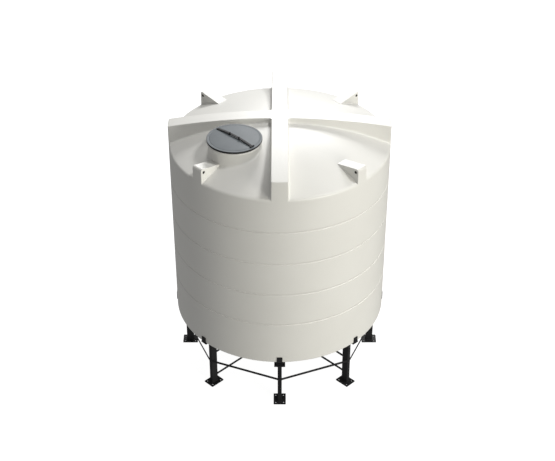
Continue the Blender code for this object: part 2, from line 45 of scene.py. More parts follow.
def moulded(name, pale, deep, patch, sheen, grain, relief):
    """A finish with soft patches of tint, uneven sheen and a fine grain."""
    made = bpy.data.materials.new(name)
    made.use_nodes = True
    nodes, link = made.node_tree.nodes, made.node_tree.links.new
    shader = nodes["Principled BSDF"]
    place = nodes.new("ShaderNodeTexCoord")
    clouds = nodes.new("ShaderNodeTexNoise")
    clouds.inputs["Scale"].default_value = patch
    clouds.inputs["Detail"].default_value = 5.0
    tint = nodes.new("ShaderNodeValToRGB")
    tint.color_ramp.elements[0].position = 0.30
    tint.color_ramp.elements[0].color = (*deep, 1.0)
    tint.color_ramp.elements[1].position = 0.70
    tint.color_ramp.elements[1].color = (*pale, 1.0)
    fine = nodes.new("ShaderNodeTexNoise")
    fine.inputs["Scale"].default_value = grain
    fine.inputs["Detail"].default_value = 3.0
    gloss = nodes.new("ShaderNodeMapRange")
    gloss.inputs["To Min"].default_value = sheen[0]
    gloss.inputs["To Max"].default_value = sheen[1]
    peel = nodes.new("ShaderNodeBump")
    peel.inputs["Distance"].default_value = relief
    for texture in (clouds, fine):
        link(place.outputs["Object"], texture.inputs["Vector"])
    link(clouds.outputs["Fac"], tint.inputs["Fac"])
    link(tint.outputs["Color"], shader.inputs["Base Color"])
    link(fine.outputs["Fac"], gloss.inputs["Value"])
    link(gloss.outputs["Result"], shader.inputs["Roughness"])
    link(fine.outputs["Fac"], peel.inputs["Height"])
    link(peel.outputs["Normal"], shader.inputs["Normal"])
    return made


polyethylene = moulded(
    "white polyethylene", (0.715, 0.708, 0.672), (0.690, 0.682, 0.645), 1.6,
    (0.36, 0.50), 85.0, 0.0009)


def add_piece(name, bm, finish, slot, body, *nodes):
    """Finish a piece, join it to its body and let it stand for its CAD nodes."""
    bmesh.ops.remove_doubles(bm, verts=bm.verts, dist=1e-6)
    bmesh.ops.recalc_face_normals(bm, faces=bm.faces)
    mesh = bpy.data.meshes.new(name)
    bm.to_mesh(mesh)
    bm.free()
    mesh.materials.append(finish)
    mesh.shade_smooth()
    mesh.set_sharp_from_angle(angle=math.radians(38))
    obj = bpy.data.objects.new(name, mesh)
    bpy.context.scene.collection.objects.link(obj)
    even = obj.modifiers.new("even shading", "WEIGHTED_NORMAL")
    even.keep_sharp = True
    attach(obj, body)
    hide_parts(*nodes)
    return obj


def wrap(bm, rows, closed=False):
    """Skin over a row of like rings of points."""
    rings = [[bm.verts.new(point) for point in row] for row in rows]
    pairs = list(zip(rings, rings[1:]))
    if closed:
        pairs.append((rings[-1], rings[0]))
    for near, far in pairs:
        for j in range(len(near)):
            k = (j + 1) % len(near)
            bm.faces.new((near[j], near[k], far[k], far[j]))
    return rings


tank_r = 1.300
skin = 0.015
crest_z = 3.300
shoulder_z = 2.991
dome_rise = 0.283
dome_r = (tank_r ** 2 + dome_rise ** 2) / (2 * dome_rise)
dome_z = crest_z - dome_r
shoulder_r = (dome_r ** 2 - tank_r ** 2 - (shoulder_z - dome_z) ** 2) / (2 * (dome_r - tank_r))
shoulder_in = tank_r - shoulder_r
lean = math.atan2(shoulder_in, shoulder_z - dome_z)
manway_reach = 0.726
manway_turn = math.radians(225.5)
manway_x = manway_reach * math.cos(manway_turn)
manway_y = manway_reach * math.sin(manway_turn)
manway_hole_r = 0.2755


def roof_height(x, y, inset=0.0):
    """Height of the roof's face above a point in plan, moved in by inset."""
    reach = math.hypot(x, y)
    if reach < shoulder_in + (shoulder_r - inset) * math.sin(lean):
        return dome_z + math.sqrt((dome_r - inset) ** 2 - reach ** 2)
    past = min(reach - shoulder_in, shoulder_r - inset)
    return shoulder_z + math.sqrt((shoulder_r - inset) ** 2 - past ** 2)


def ring(radius, z, steps=192, centre=(0.0, 0.0)):
    turns = [math.tau * i / steps for i in range(steps)]
    return [(centre[0] + radius * math.cos(a), centre[1] + radius * math.sin(a), z) for a in turns]


def dome_rings(count, inset):
    """Rings from the manway hole out to the shoulder, laid on the dome."""
    edge = shoulder_in + (shoulder_r - inset) * math.sin(lean)
    rows = []
    for i in range(count):
        share = i / count
        spread = manway_hole_r + (edge - manway_hole_r) * share
        middle = (manway_x * (1.0 - share), manway_y * (1.0 - share))
        flat = ring(spread, 0.0, centre=middle)
        rows.append([(x, y, roof_height(x, y, inset)) for x, y, _ in flat])
    return rows


def shoulder_rings(count, inset):
    rows = []
    for i in range(count + 1):
        a = lean + (math.pi / 2 - lean) * i / count
        reach = shoulder_r - inset
        rows.append(ring(shoulder_in + reach * math.sin(a), shoulder_z + reach * math.cos(a)))
    return rows


shell_rows = dome_rings(30, 0.0) + shoulder_rings(12, 0.0)
groove_depth = 0.006
groove_above = 0.030
groove_below = 0.004
groove_drop = 0.010
for groove_z in (2.586, 2.152, 1.718, 1.284):
    for i in range(15):
        share = i / 7 - 1.0
        sink = groove_depth * math.cos(share * math.pi / 2) ** 2
        fall = share * (groove_above if share < 0 else groove_below)
        shell_rows.append(ring(tank_r - sink, groove_z - groove_drop - fall))
rim_z = 0.710
rim_r = 0.012
for i in range(7):
    a = math.radians(15 * i)
    shell_rows.append(
        ring(tank_r - rim_r + rim_r * math.cos(a), rim_z + rim_r - rim_r * math.sin(a)))
cone_r = 1.100
drain_r = 0.025
cone_fall = (cone_r - drain_r) * math.tan(math.radians(10))
seat_r = 1.106
bend_r = 1.098
bend_drop = 0.0005
shell_rows += [ring(seat_r, rim_z), ring(bend_r, rim_z - bend_drop)]
shell_rows += [ring(drain_r, rim_z - cone_fall), ring(drain_r, rim_z + skin - cone_fall)]
shell_rows += [ring(bend_r, rim_z + skin - bend_drop), ring(seat_r, rim_z + skin)]
inside_r = 0.020
corner_r = tank_r - skin - inside_r
shell_rows.append(ring(corner_r, rim_z + skin))
for i in range(1, 5):
    a = math.radians(22.5 * i)
    shell_rows.append(ring(
        corner_r + inside_r * math.sin(a), rim_z + skin + inside_r - inside_r * math.cos(a)))
shell_rows += reversed(dome_rings(14, skin) + shoulder_rings(6, skin))
shell_bm = bmesh.new()
wrap(shell_bm, shell_rows, closed=True)
add_piece(
    "tank_shell", shell_bm, polyethylene, "shell", "tank", "wall_back_right",
    "wall_back_left", "wall_front_left", "wall_front_right", "roof", "floor_cone")

# Roof ribs. Two hollow box ribs that cross on the crown, moulded in one with the dome.
# Their sides have draft, the top edges are rounded, the feet run out into the dome, and
# the four ends stand flush with the wall.
flush_r = tank_r - 0.0005


def column(x, y, lean_x, lean_y, out, top, edge, foot):
    """Points down one line of a raised shape: round edge, drafted side, foot fillet."""
    points = []
    for i in range(6):
        a = math.radians(18 * i)
        back = edge * (1.0 - math.sin(a))
        points.append((x - out[0] * back, y - out[1] * back, top - edge * (1.0 - math.cos(a))))

    def side(z):
        here = (x + lean_x * (top - z), y + lean_y * (top - z))
        reach = math.hypot(*here)
        share = min(1.0, flush_r / reach)
        return here[0] * share, here[1] * share

    low = top
    for _ in range(12):
        low = roof_height(*side(low))
    low = min(low, top - edge)
    start = side(low)
    room = foot
    while room > 0.001 and math.hypot(start[0] + out[0] * room, start[1] + out[1] * room) > flush_r:
        room *= 0.8
    room = min(room, (top - edge - low) * 0.9)
    room = max(room, 0.0002)
    high = low + room
    for share in (0.33, 0.66):
        z = top - edge + (high - top + edge) * share
        points.append((*side(z), z))
    first = Vector((*side(high), high))
    corner = Vector((*start, low))
    end = (start[0] + out[0] * room, start[1] + out[1] * room)
    reach = math.hypot(*end)
    end = (end[0] * min(1.0, flush_r / reach), end[1] * min(1.0, flush_r / reach))
    last = Vector((*end, min(low, roof_height(*end)) - 0.0004))
    for i in range(8):
        t = i / 7
        points.append(tuple(first * (1 - t) ** 2 + corner * 2 * t * (1 - t) + last * t ** 2))
    return points


def turned(points, angle):
    c, s = math.cos(angle), math.sin(angle)
    return [(x * c - y * s, x * s + y * c, z) for x, y, z in points]


def end_columns(half, draft, round_r, crown, edge):
    """Columns round the outer end of a raised shape, from its -Y side to its +Y side."""
    made = []
    arc = [math.radians(-90 + 22.5 * i) for i in range(5)]
    spots = [(-half + round_r + round_r * math.sin(a), a) for a in arc]
    spots += [((half - round_r) * share, 0.0) for share in (-0.6, -0.2, 0.2, 0.6)]
    spots += [(half - round_r + round_r * math.sin(-a), -a) for a in reversed(arc)]
    for y, a in spots:
        level = math.sqrt(flush_r ** 2 - half ** 2) - round_r * (1.0 - math.cos(a))
        x = level + math.sqrt(flush_r ** 2 - y ** 2) - math.sqrt(flush_r ** 2 - half ** 2)
        out = (math.cos(a), math.sin(a))
        foot = 0.020 * abs(math.sin(a))
        made.append(column(x, y, 0.0, draft * y / half, out, crown(level), edge, foot))
    return made


rib_half = 0.094
rib_draft = 0.02
rib_edge = 0.006
rib_foot = 0.022
rib_crest_z = 3.362
rib_arc_r = 7.5
inner_round = 0.034


def rib_top(reach):
    return rib_crest_z - rib_arc_r + math.sqrt(rib_arc_r ** 2 - reach ** 2)


rib_stations = 34
near_x = rib_half + inner_round
far_x = math.sqrt(flush_r ** 2 - rib_half ** 2) - 0.010
rib_bm = bmesh.new()
rib_rows = []
for arm in range(4):
    sides = []
    for i in range(rib_stations):
        x = near_x + (far_x - near_x) * (1.0 - (1.0 - i / rib_stations) ** 1.6)
        sides.append(column(
            x, -rib_half, 0.0, -rib_draft, (0.0, -1.0), rib_top(x), rib_edge, rib_foot))
    outer = end_columns(rib_half, rib_draft, 0.010, rib_top, rib_edge)
    back = [[(x, -y, z) for x, y, z in points] for points in reversed(sides)]
    corner = []
    for i in range(1, 7):
        a = math.radians(270 - 90 * i / 7)
        out = (-math.cos(a), -math.sin(a))
        x = near_x - out[0] * inner_round
        y = near_x - out[1] * inner_round
        corner.append(column(
            x, y, out[0] * rib_draft, out[1] * rib_draft, out, rib_top(max(x, y)), rib_edge, 0.018))
    for points in sides + outer + back + corner:
        rib_rows.append(turned(points, arm * math.pi / 2))


def skirt(bm, columns):
    """Skin over columns that stand side by side round a closed shape."""
    rings = wrap(bm, list(zip(*columns)))
    return rings[0], rings[-1]


crown_loop, _ = skirt(rib_bm, rib_rows)
per_arm = len(crown_loop) // 4
centre_loop = []
for arm in range(4):
    arm_loop = crown_loop[arm * per_arm:(arm + 1) * per_arm]
    ends = len(arm_loop) - 2 * rib_stations - 6
    for i in range(rib_stations - 1):
        far_side = 2 * rib_stations + ends - 1
        rib_bm.faces.new((
            arm_loop[i], arm_loop[i + 1], arm_loop[far_side - i - 1], arm_loop[far_side - i]))
    rib_bm.faces.new(arm_loop[rib_stations - 1:rib_stations + ends + 1])
    centre_loop += [arm_loop[0]] + arm_loop[2 * rib_stations + ends - 1:]
rib_bm.faces.new(centre_loop)
add_piece(
    "roof_ribs", rib_bm, polyethylene, "shell", "tank", "rib_left_right", "rib_front", "rib_back")

# Lifting lugs. Four solid wedges moulded on the shoulder between the ribs, flush with the
# wall, their outer corner well rounded. A shackle hole is drilled across each one near the
# wall; its bore and eased mouths are painted near black, painted shade for the deep hole.
lug_half = 0.070
lug_tip = 0.975
lug_top_z = 3.200
lug_draft = 0.01
lug_edge = 0.005
lug_round = 0.030
tip_z = roof_height(lug_tip, 0.0)
lug_slope = (lug_top_z - tip_z) / (tank_r - lug_tip)
lug_round_x = flush_r - lug_round
lug_round_z = tip_z + lug_slope * (lug_round_x - lug_tip) - lug_round * math.hypot(1.0, lug_slope)
hole_r = 0.014
hole_ease = 0.003
hole_inset = 0.043
hole_z = 3.151
# Near-black rough finish for the shackle holes: painted shade inside the bore and its eased mouths.
bore_painted_shade = moulded(
    "bore painted shade", (0.060, 0.058, 0.054), (0.030, 0.029, 0.027), 60.0, (0.7, 0.9), 240.0, 0.0006)


def lug_top(x):
    """Height of the wedge's top: a straight slope, then round down to the wall."""
    past = x - lug_round_x
    if past < -lug_round * math.sin(math.atan(lug_slope)):
        return tip_z + lug_slope * (x - lug_tip)
    return lug_round_z + math.sqrt(lug_round ** 2 - min(past, 0.97 * lug_round) ** 2)


def lug_rounding(x):
    return max(0.0002, min(lug_edge, 0.30 * (lug_top(x) - roof_height(x, lug_half))))


def eased_drill(bm, half):
    """A drill across Y that opens out round at both faces of a piece this wide."""
    profile = [(hole_r, 0.0), (hole_r, half - hole_ease)]
    for i in range(1, 5):
        a = math.radians(22.5 * i)
        profile.append((hole_r + hole_ease * (1 - math.cos(a)),
                        half - hole_ease + hole_ease * math.sin(a)))
    profile += [(0.018, half + 0.003), (0.019, half + 0.020)]
    rows = [[(r * math.cos(a), -y, r * math.sin(a)) for a in
             [math.tau * k / 32 for k in range(32)]] for r, y in reversed(profile)]
    rows += [[(x, -y, z) for x, y, z in row] for row in reversed(rows[:-1])]
    rings = wrap(bm, rows)
    bm.faces.new(rings[0])
    bm.faces.new(list(reversed(rings[-1])))


for side, degrees in (("front_left", 225), ("front_right", 315),
                      ("back_right", 45), ("back_left", 135)):
    angle = math.radians(degrees)
    first = 1.008 if side == "front_left" else lug_tip + 0.004
    stations = [first + (lug_round_x - 0.018 - first) * (i / 20) for i in range(20)]
    stations += [lug_round_x + lug_round * math.sin(math.radians(a)) for a in range(-36, 50, 9)]
    sides = []
    for x in stations:
        edge = lug_rounding(x)
        sides.append(column(
            x, -lug_half, 0.0, -lug_draft, (0.0, -1.0), lug_top(x), edge, 2.0 * edge))
    outer = end_columns(lug_half, lug_draft, 0.005, lug_top, 0.003)
    back = [[(x, -y, z) for x, y, z in points] for points in reversed(sides)]
    lug_bm = bmesh.new()
    top_loop, low_loop = skirt(
        lug_bm, [turned(points, angle) for points in sides + outer + back])
    last = len(top_loop) - 1
    count = len(stations) - 1
    for i in range(count):
        lug_bm.faces.new((top_loop[i], top_loop[i + 1], top_loop[last - i - 1], top_loop[last - i]))
    lug_bm.faces.new(top_loop[count:last - count + 1])
    lug_bm.faces.new(low_loop)
    bmesh.ops.recalc_face_normals(lug_bm, faces=lug_bm.faces)
    lug = add_piece(
        "lifting_lug_" + side, lug_bm, polyethylene, "shell", "tank", "lug_" + side)
    drill_bm = bmesh.new()
    eased_drill(drill_bm, lug_half)
    bmesh.ops.recalc_face_normals(drill_bm, faces=drill_bm.faces)
    spot = Matrix.Rotation(angle, 4, "Z") @ Matrix.Translation((tank_r - hole_inset, 0.0, hole_z))
    bmesh.ops.transform(drill_bm, matrix=spot, verts=drill_bm.verts)
    drill_mesh = bpy.data.meshes.new("drill_" + side)
    drill_bm.to_mesh(drill_mesh)
    drill_bm.free()
    # The drill's painted-shade finish passes to the bore faces it cuts.
    drill_mesh.materials.append(bore_painted_shade)
    drill = bpy.data.objects.new("drill_" + side, drill_mesh)
    bpy.context.scene.collection.objects.link(drill)
    bore = lug.modifiers.new("shackle hole", "BOOLEAN")
    bore.object = drill
    bore.solver = "EXACT"
    bore.material_mode = "TRANSFER"
    lug.modifiers.move(1, 0)
    drilled = bpy.data.meshes.new_from_object(
        lug.evaluated_get(bpy.context.evaluated_depsgraph_get()))
    lug.modifiers.clear()
    lug.data = drilled
    drilled.shade_smooth()
    drilled.set_sharp_from_angle(angle=math.radians(38))
    even = lug.modifiers.new("even shading", "WEIGHTED_NORMAL")
    even.keep_sharp = True
    bpy.data.objects.remove(drill, do_unlink=True)

# Manway neck. A short round neck moulded up out of the dome, with a thick rolled lip at
# its mouth and a generous fillet where it leaves the roof.
neck_bm = bmesh.new()
neck_columns = []
neck_top = 3.3177
neck_bore = 0.275
neck_r = 0.300
lip_r = 0.312
for i in range(128):
    a = math.tau * i / 128
    out = (math.cos(a), math.sin(a))
    inside = (manway_x + neck_bore * out[0], manway_y + neck_bore * out[1])
    profile = [(neck_bore, roof_height(*inside, skin)), (neck_bore, neck_top - 0.004)]
    profile += [(0.2762, neck_top - 0.0012), (0.279, neck_top)]
    profile += [(0.306, neck_top), (0.3103, neck_top - 0.0018), (lip_r, neck_top - 0.006)]
    profile += [(lip_r, neck_top - 0.0200), (0.3103, neck_top - 0.0243), (0.306, neck_top - 0.026)]
    profile += [(0.3035, neck_top - 0.0275), (0.301, neck_top - 0.031)]
    points = [(manway_x + r * out[0], manway_y + r * out[1], z) for r, z in profile]
    foot = column(manway_x + neck_r * out[0], manway_y + neck_r * out[1], 0.0, 0.0, out,
                  neck_top - 0.034, 0.0002, 0.030)
    neck_columns.append(points + foot[5:])
skirt(neck_bm, neck_columns)
add_piece("moulded_neck", neck_bm, polyethylene, "shell", "tank", "manway_neck")

# Manway lid. A moulded blue-grey plastic cover with a slight crown and a shallow ring
# near its rim, stiffened from below by rings; fine leather grain.
lid_plastic = moulded(
    "blue grey lid plastic", (0.160, 0.176, 0.186), (0.136, 0.150, 0.160), 3.5,
    (0.40, 0.55), 420.0, 0.0006)
lid_plastic.node_tree.nodes["Principled BSDF"].inputs["Specular IOR Level"].default_value = 0.12


def lathe(bm, profile, steps=160):
    """Turn a closed outline about the manway's axis."""
    wrap(bm, [ring(r, z, steps, (manway_x, manway_y)) for r, z in profile], closed=True)


lid_z = 3.348
lid_crown = 0.012
crown_r = 0.286
cover = [(0.0, lid_z - 0.010), (0.050, lid_z - 0.010), (0.053, lid_z - 0.0165)]
cover += [(0.070, lid_z - 0.0165), (0.073, lid_z - 0.010), (0.190, lid_z - 0.010)]
cover += [(0.193, lid_z - 0.0165), (0.210, lid_z - 0.0165), (0.213, lid_z - 0.010)]
cover += [(0.262, lid_z - 0.010), (0.266, lid_z - 0.0175), (0.2995, lid_z - 0.0175)]
cover += [(0.2995, lid_z - 0.0042), (0.3125, lid_z - 0.0042), (0.3141, lid_z - 0.0034)]
cover += [(0.3148, lid_z - 0.0020), (0.3141, lid_z - 0.0006), (0.3125, lid_z)]
cover += [(0.2925, lid_z), (0.2905, lid_z - 0.0008), (0.2885, lid_z - 0.0022)]
cover += [(0.2855, lid_z - 0.0022), (0.2835, lid_z - 0.0008), (0.2815, lid_z + 0.0004)]
for i in range(12):
    reach = 0.276 * (1.0 - i / 11)
    cover.append((reach, lid_z + lid_crown * (1.0 - (reach / crown_r) ** 2)))
lid_bm = bmesh.new()
lathe(lid_bm, cover)
add_piece("lid_cover", lid_bm, lid_plastic, "lid", "lid", "manway_lid")

# Lid seal. One black rubber ring: a band round the cover's edge that turns under it and
# lies on the neck's lip with two sealing beads. It is pushed on and stays on the lid.
rubber = moulded(
    "black seal rubber", (0.020, 0.020, 0.021), (0.012, 0.012, 0.013), 9.0,
    (0.62, 0.78), 300.0, 0.0004)
seal = [(0.2765, lid_z - 0.0290), (0.2790, lid_z - 0.0298), (0.2830, lid_z - 0.0282)]
seal += [(0.2870, lid_z - 0.0282), (0.2910, lid_z - 0.0298), (0.2950, lid_z - 0.0282)]
seal += [(0.2990, lid_z - 0.0282), (0.3030, lid_z - 0.0298), (0.3065, lid_z - 0.0290)]
seal += [(0.3080, lid_z - 0.0270), (0.3080, lid_z - 0.0190), (0.3095, lid_z - 0.0178)]
seal += [(0.3135, lid_z - 0.0178), (0.3153, lid_z - 0.0168), (0.3160, lid_z - 0.0150)]
seal += [(0.3160, lid_z - 0.0070), (0.3153, lid_z - 0.0052), (0.3135, lid_z - 0.0043)]
seal += [(0.2997, lid_z - 0.0043), (0.2997, lid_z - 0.0178), (0.2770, lid_z - 0.0178)]
seal_bm = bmesh.new()
lathe(seal_bm, seal)
add_piece("lid_seal", seal_bm, rubber, "rubber", "lid", "lid_gasket")

# Strap bar. A flat steel strap bowed over the lid and held down by two hex bolts on
# spacers, with a short hasp bar welded across its free end; all powder coated black.
powder_coat = moulded(
    "black powder coat", (0.016, 0.016, 0.017), (0.010, 0.010, 0.011), 7.0,
    (0.50, 0.66), 650.0, 0.0003)
powder_coat.node_tree.nodes["Principled BSDF"].inputs["Specular IOR Level"].default_value = 0.2
lid_yaw = math.radians(315)
along = Vector((math.cos(lid_yaw), math.sin(lid_yaw), 0.0))
sideways = Vector((-math.sin(lid_yaw), math.cos(lid_yaw), 0.0))
upward = Vector((0.0, 0.0, 1.0))
lid_centre = Vector((manway_x, manway_y, 0.0))


def bar_along(bm, path, half_across, half_up, edge):
    """A bar with rounded edges and ends along a path of (centre, across, up)."""
    turn = [math.radians(30 * i) for i in range(4)]
    head = (path[1][0] - path[0][0]).normalized()
    tail = (path[-2][0] - path[-1][0]).normalized()
    stations = []
    for b in turn:
        spot = path[0][0] + head * edge * (1.0 - math.cos(b))
        stations.append((spot, *path[0][1:], edge * math.sin(b)))
    stations += [(*step, edge) for step in path[1:-1]]
    for b in reversed(turn):
        spot = path[-1][0] + tail * edge * (1.0 - math.cos(b))
        stations.append((spot, *path[-1][1:], edge * math.sin(b)))
    rows = []
    for centre, across, up, round_r in stations:
        row = []
        for quarter in range(4):
            x = (half_across - edge) * (1 if quarter in (0, 3) else -1)
            z = (half_up - edge) * (1 if quarter in (0, 1) else -1)
            for b in turn:
                a = b + quarter * math.pi / 2
                row.append(centre + across * (x + round_r * math.cos(a))
                           + up * (z + round_r * math.sin(a)))
        rows.append(row)
    rings = wrap(bm, rows)
    bm.faces.new(rings[0])
    bm.faces.new(list(reversed(rings[-1])))


def turned_rod(bm, start, end, radius, edge, steps=32):
    """A round bar with eased ends; six steps make a hexagon."""
    axis = (end - start).normalized()
    side = axis.orthogonal().normalized()
    other = axis.cross(side)
    length = (end - start).length
    rows = []
    for reach, r in ((0.0, radius - edge), (edge, radius), (length - edge, radius),
                     (length, radius - edge)):
        turns = [math.tau * i / steps for i in range(steps)]
        rows.append([start + axis * reach + side * r * math.cos(a) + other * r * math.sin(a)
                     for a in turns])
    rings = wrap(bm, rows)
    bm.faces.new(rings[0])
    bm.faces.new(list(reversed(rings[-1])))


strap_reach = 0.285
strap_bow = 0.024
strap_half = 0.014
strap_rise = 0.004


def strap_z(s):
    return lid_z + 0.001 + strap_bow * (1.0 - (s / strap_reach) ** 2)


strap_bm = bmesh.new()
strap_path = []
for i in range(41):
    s = -strap_reach + 2 * strap_reach * i / 40
    slope = -2.0 * strap_bow * s / strap_reach ** 2
    rise = Vector((-slope * along.x, -slope * along.y, 1.0)).normalized()
    strap_path.append(
        (lid_centre + along * s + upward * (strap_z(s) + strap_rise), sideways, rise))
bar_along(strap_bm, strap_path, strap_half, strap_rise, 0.0016)
for s in (-0.075, 0.075):
    spot = lid_centre + along * s
    base = lid_z + lid_crown * (1.0 - (0.087 / crown_r) ** 2)
    top = strap_z(s) + 2 * strap_rise
    turned_rod(strap_bm, spot + upward * base, spot + upward * (top - 0.004), 0.010, 0.0008)
    turned_rod(strap_bm, spot + upward * (top - 0.0005), spot + upward * (top + 0.0020),
               0.0120, 0.0006)
    turned_rod(strap_bm, spot + upward * (top + 0.0018), spot + upward * (top + 0.0100),
               0.0108, 0.0010, 6)
hasp_at = lid_centre + along * strap_reach + upward * (lid_z + 0.0073)
bar_along(strap_bm, [(hasp_at - sideways * 0.030, along, upward),
                     (hasp_at + sideways * 0.030, along, upward)], 0.008, 0.007, 0.0018)
add_piece("lid_strap", strap_bm, powder_coat, "frame", "lid", "lid_bar")

# Lid hinge. A short steel leaf slopes from the cover's rim down to a rolled eye, out of
# sight behind the lid; the eye turns on a pin between two cheeks of a bracket that is
# bolted to the neck below the lip.
hinge_reach = 0.334
hinge_drop = 0.032
hinge_at = lid_centre - along * hinge_reach + upward * (lid_z - hinge_drop)
leaf_rise = Vector((along.x * 0.616, along.y * 0.616, 0.788))
leaf_bm = bmesh.new()
bar_along(leaf_bm, [(hinge_at + leaf_rise * 0.004, sideways, leaf_rise.cross(sideways)),
                    (hinge_at + leaf_rise * 0.0285, sideways, leaf_rise.cross(sideways))],
          0.0148, 0.0029, 0.0012)
eye_rows = []
for r, y in ((0.0054, -0.0148), (0.0080, -0.0148), (0.0088, -0.0140), (0.0088, 0.0140),
             (0.0080, 0.0148), (0.0054, 0.0148)):
    turns = [math.tau * i / 32 for i in range(32)]
    eye_rows.append([hinge_at + along * r * math.cos(a) + upward * r * math.sin(a)
                     + sideways * y for a in turns])
wrap(leaf_bm, eye_rows, closed=True)
add_piece("hinge_leaf", leaf_bm, powder_coat, "frame", "lid", "lid_hinge_leaf")

bracket_bm = bmesh.new()
foot_top = neck_top - 0.026 - 0.002
foot_middle = upward * (foot_top - 0.0225 - hinge_at.z)
bar_along(bracket_bm, [(hinge_at - along * 0.0155 + foot_middle, sideways, upward),
                       (hinge_at + along * 0.0370 + foot_middle, sideways, upward)],
          0.0212, 0.0222, 0.0025)
for sign in (-1, 1):
    cheek = hinge_at + sideways * sign * 0.0186
    cheek_low = foot_top - 0.0225 - hinge_at.z
    bar_along(bracket_bm, [(cheek + upward * cheek_low, sideways, along),
                           (cheek + upward * 0.0078, sideways, along)], 0.0029, 0.0078, 0.0014)
    bolt = hinge_at + foot_middle - along * 0.0150 + sideways * sign * 0.010
    turned_rod(bracket_bm, bolt, bolt - along * 0.0010, 0.0060, 0.0004, 6)
turned_rod(bracket_bm, hinge_at - sideways * 0.0244, hinge_at + sideways * 0.0244, 0.0048, 0.0008)
add_piece("neck_bracket", bracket_bm, powder_coat, "frame", "tank", "hinge_bracket")

# Outlet. A black polypropylene bulkhead fitting at the lowest point of the cone: a hex
# flange drawn up against the floor and a threaded spigot for the drain pipe.
outlet_plastic = moulded(
    "black outlet plastic", (0.034, 0.034, 0.036), (0.022, 0.022, 0.024), 20.0,
    (0.38, 0.55), 500.0, 0.0002)
outlet_top = rim_z - cone_fall - 0.0003
outlet = [(0.0250, outlet_top), (0.0585, outlet_top), (0.0600, outlet_top - 0.0015)]
outlet += [(0.0600, outlet_top - 0.0120), (0.0585, outlet_top - 0.0140)]
outlet += [(0.0330, outlet_top - 0.0140)]
for i in range(9):
    z = outlet_top - 0.0155 - 0.0030 * i
    outlet += [(0.0330, z), (0.0316, z - 0.0015)]
outlet += [(0.0325, outlet_top - 0.0440), (0.0310, outlet_top - 0.0450)]
outlet += [(0.0260, outlet_top - 0.0450), (0.0250, outlet_top - 0.0440)]
outlet_bm = bmesh.new()
wrap(outlet_bm, [ring(r, z, 64) for r, z in outlet], closed=True)
add_piece("outlet_fitting", outlet_bm, outlet_plastic, "fitting", "tank", "bottom_outlet")

# Stand. Eight box-section posts welded to drilled foot plates. The four on the
# diagonals carry the rim straight on a shoe; the four between end in a drilled head
# plate, and a cradle with a stub, a shoe and a tab outside the wall stands on each.
leg_at = 1.166
plate = 0.012
hole_x = 0.065
bolt_hole_r = 0.009


def rounded_box(half_x, half_y, corner, centre_x):
    """Outline of a rounded rectangle in plan."""
    points = []
    for quarter in range(4):
        x = centre_x + (half_x - corner) * (1 if quarter in (0, 3) else -1)
        y = (half_y - corner) * (1 if quarter in (0, 1) else -1)
        for i in range(6):
            a = math.pi / 2 * (quarter + i / 5)
            points.append((x + corner * math.cos(a), y + corner * math.sin(a)))
    return points


def sawn_plate(half_x, half_y, centre_x, pitch_y):
    """A drilled plate with rounded edges, lying on z = 0."""
    edge = 0.0012
    sheet = bpy.data.curves.new("sheet", "CURVE")
    sheet.dimensions = "2D"
    sheet.fill_mode = "BOTH"
    sheet.extrude = plate / 2 - edge
    sheet.bevel_depth = edge
    sheet.bevel_resolution = 2
    loops = [rounded_box(half_x - edge, half_y - edge, 0.006, centre_x)]
    for i in (-hole_x, hole_x):
        for j in (-pitch_y / 2, pitch_y / 2):
            turns = [math.tau * k / 28 for k in range(28)]
            loops.append([(leg_at + i + (bolt_hole_r + edge) * math.cos(a),
                           j + (bolt_hole_r + edge) * math.sin(a)) for a in turns])
    for loop in loops:
        line = sheet.splines.new("POLY")
        line.points.add(len(loop) - 1)
        for point, (x, y) in zip(line.points, loop):
            point.co = (x, y, 0.0, 1.0)
        line.use_cyclic_u = True
    holder = bpy.data.objects.new("sheet", sheet)
    bpy.context.scene.collection.objects.link(holder)
    made = bpy.data.meshes.new_from_object(
        holder.evaluated_get(bpy.context.evaluated_depsgraph_get()))
    bpy.data.objects.remove(holder, do_unlink=True)
    made.transform(Matrix.Translation((0.0, 0.0, plate / 2)))
    return made


def add_mesh(bm, mesh, z):
    """Add a plate at height z to a piece."""
    before = set(bm.verts)
    bm.from_mesh(mesh)
    fresh = [v for v in bm.verts if v not in before]
    bmesh.ops.translate(bm, verts=fresh, vec=(0.0, 0.0, z))


def weld(bm, half_x, half_y, centre_x, z, side):
    """A weld bead round a post where it meets a plate above or below it."""
    outline = rounded_box(half_x, half_y, 0.006, centre_x)
    path = []
    for (x0, y0), (x1, y1) in zip(outline, outline[1:] + outline[:1]):
        steps = max(1, round(math.hypot(x1 - x0, y1 - y0) / 0.004))
        for i in range(steps):
            path.append((x0 + (x1 - x0) * i / steps, y0 + (y1 - y0) * i / steps))
    rows = []
    for i, (x, y) in enumerate(path):
        ahead = path[(i + 1) % len(path)]
        behind = path[i - 1]
        along_path = Vector((ahead[0] - behind[0], ahead[1] - behind[1])).normalized()
        out = (along_path.y, -along_path.x)
        bead = 0.0042 + 0.0005 * math.sin(i * 2.1)
        row = []
        for a in (0.0, 1.2566, 2.5133, 3.7699, 5.0265):
            row.append((x + out[0] * bead * math.cos(a), y + out[1] * bead * math.cos(a),
                        z + side * bead * math.sin(a)))
        rows.append(row)
    wrap(bm, rows, closed=True)


post_x = 0.045
post_y = 0.025
stub_x = 0.06025
stub_y = 0.0325
stub_at = leg_at + 0.01525
shoe_z = rim_z - plate
head_z = rim_z - 0.0945
foot_plate = sawn_plate(0.095, 0.075, leg_at, 0.096)
head_plate = sawn_plate(0.095, 0.066, leg_at, 0.094)
east = Vector((1.0, 0.0, 0.0))
north = Vector((0.0, 1.0, 0.0))


def post(bm, centre_x, half_x, half_y, low, high):
    bar_along(bm, [(Vector((centre_x, 0.0, low)), east, north),
                   (Vector((centre_x, 0.0, high)), east, north)], half_x, half_y, 0.006)


